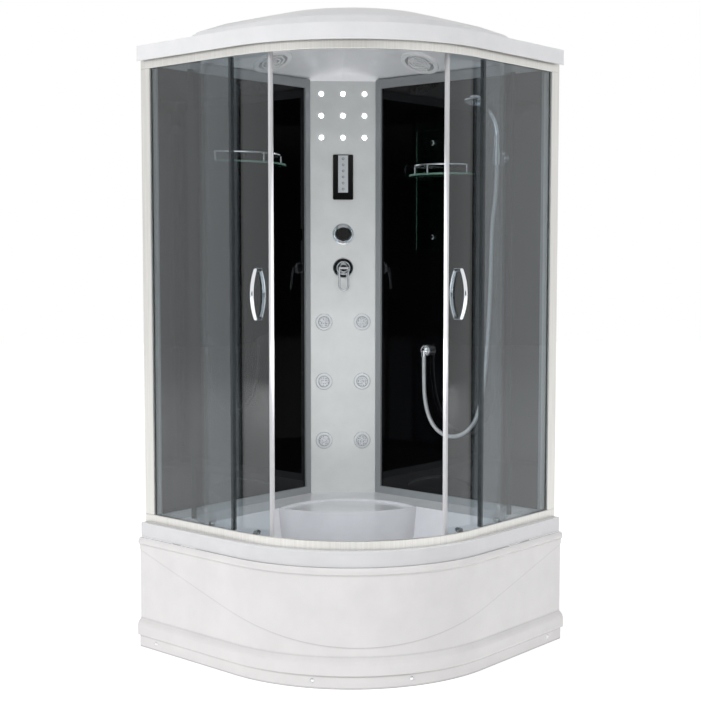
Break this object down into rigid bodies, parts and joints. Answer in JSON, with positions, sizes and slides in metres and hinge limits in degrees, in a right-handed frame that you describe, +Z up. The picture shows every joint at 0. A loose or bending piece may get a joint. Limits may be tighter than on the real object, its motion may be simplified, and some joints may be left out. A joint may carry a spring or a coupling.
{
  "type": "steam shower cabin",
  "caption": "Quadrant corner steam shower cabin: deep tray, two curved sliding glass doors, black glass walls, jet column and domed roof.",
  "frame": {"origin": "centre of the footprint's bounding box, on the floor", "axes": "+Z up, +Y towards the back corner between the two walls, doorway facing -Y, +X to the right seen from the front"},
  "size_m": [1.4156, 1.1874, 2.04],
  "materials": {
    "acrylic": "glossy moulded acrylic",
    "skirt_white": "glossy white sheet",
    "rail_silver": "satin anodised",
    "clear_glass": "lightly tinted, polished",
    "shelf_clear": "clear, polished",
    "black_glass": "polished black",
    "frame_grey": "satin",
    "column_white": "glossy",
    "chrome": "mirror polished",
    "jet_grey": "satin",
    "control_black": "glossy",
    "keypad_silver": "satin",
    "knob_black": "glossy",
    "seal_clear": "translucent",
    "stile_white": "satin",
    "wheel_nylon": "satin nylon",
    "steel_tube": "galvanised",
    "foot_black": "moulded",
    "pipe_white": "moulded",
    "valve_brass": "cast",
    "hose_steel": "wound spiral",
    "lens": "frosted",
    "roof_white": "glossy moulded acrylic",
    "fitting_grey": "satin"
  },
  "bodies": {
    "cabin": {"tray_basin": "acrylic", "tray_frame": "steel_tube", "adjustable_feet": "foot_black", "front_skirt": "skirt_white", "skirt_screws": "chrome", "drain_strainer": "chrome", "drain_trap": "pipe_white", "bottom_rail": "rail_silver", "top_rail": "rail_silver", "wall_posts": "rail_silver", "left_fixed_glass": "clear_glass", "right_fixed_glass": "clear_glass", "fixed_glass_seals": "seal_clear", "left_wall_frame": "frame_grey", "right_wall_frame": "frame_grey", "left_wall_panel": "black_glass", "right_wall_panel": "black_glass", "column_panel": "column_white", "led_lenses": "lens", "control_panel": "control_black", "control_keypad": "keypad_silver", "selector_ring": "chrome", "mixer_plate": "chrome", "jet_rims": "chrome", "valve_block": "valve_brass", "hose_outlet": "chrome", "shower_hose": "hose_steel", "hand_shower": "chrome", "shower_holder": "chrome", "left_shelf_glass": "shelf_clear", "left_shelf_rail": "chrome", "right_shelf_plate": "shelf_clear", "right_shelf_glass": "shelf_clear", "right_shelf_rail": "chrome", "roof_canopy": "roof_white", "ceiling_fittings": "fitting_grey"},
    "left_door": {"left_door_glass": "clear_glass", "left_door_stile": "stile_white", "left_rear_seal": "seal_clear", "left_door_handle": "chrome", "left_door_carriers": "chrome"},
    "left_front_wheel": {"left_front_wheel": "wheel_nylon"},
    "left_rear_wheel": {"left_rear_wheel": "wheel_nylon"},
    "right_door": {"right_door_glass": "clear_glass", "right_door_stile": "stile_white", "right_rear_seal": "seal_clear", "right_door_handle": "chrome", "right_door_carriers": "chrome"},
    "right_front_wheel": {"right_front_wheel": "wheel_nylon"},
    "right_rear_wheel": {"right_rear_wheel": "wheel_nylon"},
    "selector": {"selector_knob": "knob_black"},
    "mixer_body": {"mixer_dome": "chrome"},
    "mixer_handle": {"mixer_lever": "chrome"},
    "jet_1": {"jet_head_1": "jet_grey"},
    "jet_2": {"jet_head_2": "jet_grey"},
    "jet_3": {"jet_head_3": "jet_grey"},
    "jet_4": {"jet_head_4": "jet_grey"},
    "jet_5": {"jet_head_5": "jet_grey"},
    "jet_6": {"jet_head_6": "jet_grey"},
    "fan": {"fan_impeller": "fitting_grey"}
  },
  "joints": [
    {"name": "left_door_slide", "type": "hinge", "parent": "cabin", "child": "left_door", "pos_m": [0.06793, 0.10816, 1.896], "axis": [0, 0, 1], "range_deg": [0, 25.16]},
    {"name": "left_front_wheel_spin", "type": "hinge", "parent": "left_door", "child": "left_front_wheel", "pos_m": [-0.32217, -0.41556, 1.907], "axis": [-0.5365, -0.8439, 0], "range_deg": [-1495, 5]},
    {"name": "left_rear_wheel_spin", "type": "hinge", "parent": "left_door", "child": "left_rear_wheel", "pos_m": [-0.47099, -0.26827, 1.907], "axis": [-0.8383, -0.5452, 0], "range_deg": [-1508, 5]},
    {"name": "right_door_slide", "type": "hinge", "parent": "cabin", "child": "right_door", "pos_m": [-0.06793, 0.10816, 1.896], "axis": [0, 0, 1], "range_deg": [-25.16, 0]},
    {"name": "right_front_wheel_spin", "type": "hinge", "parent": "right_door", "child": "right_front_wheel", "pos_m": [0.32217, -0.41556, 1.907], "axis": [0.5365, -0.8439, 0], "range_deg": [-5, 1495]},
    {"name": "right_rear_wheel_spin", "type": "hinge", "parent": "right_door", "child": "right_rear_wheel", "pos_m": [0.47099, -0.26827, 1.907], "axis": [0.8383, -0.5452, 0], "range_deg": [-5, 1508]},
    {"name": "selector_turn", "type": "hinge", "parent": "cabin", "child": "selector", "pos_m": [0, 0.4177, 1.364], "axis": [0, -1, 0], "range_deg": [-135, 135]},
    {"name": "mixer_turn", "type": "hinge", "parent": "cabin", "child": "mixer_body", "pos_m": [0, 0.42255, 1.24], "axis": [0, -1, 0], "range_deg": [-50, 50]},
    {"name": "mixer_lift", "type": "hinge", "parent": "mixer_body", "child": "mixer_handle", "pos_m": [0, 0.4184, 1.24], "axis": [-1, 0, 0], "range_deg": [0, 22]},
    {"name": "jet_1_tilt", "type": "hinge", "parent": "cabin", "child": "jet_1", "pos_m": [-0.0705, 0.4407, 1.041], "axis": [1, 0, 0], "range_deg": [-12, 12]},
    {"name": "jet_2_tilt", "type": "hinge", "parent": "cabin", "child": "jet_2", "pos_m": [0.0705, 0.4407, 1.041], "axis": [1, 0, 0], "range_deg": [-12, 12]},
    {"name": "jet_3_tilt", "type": "hinge", "parent": "cabin", "child": "jet_3", "pos_m": [-0.0705, 0.4407, 0.821], "axis": [1, 0, 0], "range_deg": [-12, 12]},
    {"name": "jet_4_tilt", "type": "hinge", "parent": "cabin", "child": "jet_4", "pos_m": [0.0705, 0.4407, 0.821], "axis": [1, 0, 0], "range_deg": [-12, 12]},
    {"name": "jet_5_tilt", "type": "hinge", "parent": "cabin", "child": "jet_5", "pos_m": [-0.0705, 0.4407, 0.601], "axis": [1, 0, 0], "range_deg": [-12, 12]},
    {"name": "jet_6_tilt", "type": "hinge", "parent": "cabin", "child": "jet_6", "pos_m": [0.0705, 0.4407, 0.601], "axis": [1, 0, 0], "range_deg": [-12, 12]},
    {"name": "fan_spin", "type": "hinge", "parent": "cabin", "child": "fan", "pos_m": [-0.25921, 0.22924, 1.96644], "axis": [-0.292, 0.292, 0.9108], "continuous": true}
  ],
  "couplings": [
    {"joint": "left_front_wheel_spin", "follows": "left_door_slide", "ratio": -59.205},
    {"joint": "left_rear_wheel_spin", "follows": "left_door_slide", "ratio": -59.728},
    {"joint": "right_front_wheel_spin", "follows": "right_door_slide", "ratio": -59.205},
    {"joint": "right_rear_wheel_spin", "follows": "right_door_slide", "ratio": -59.728}
  ]
}
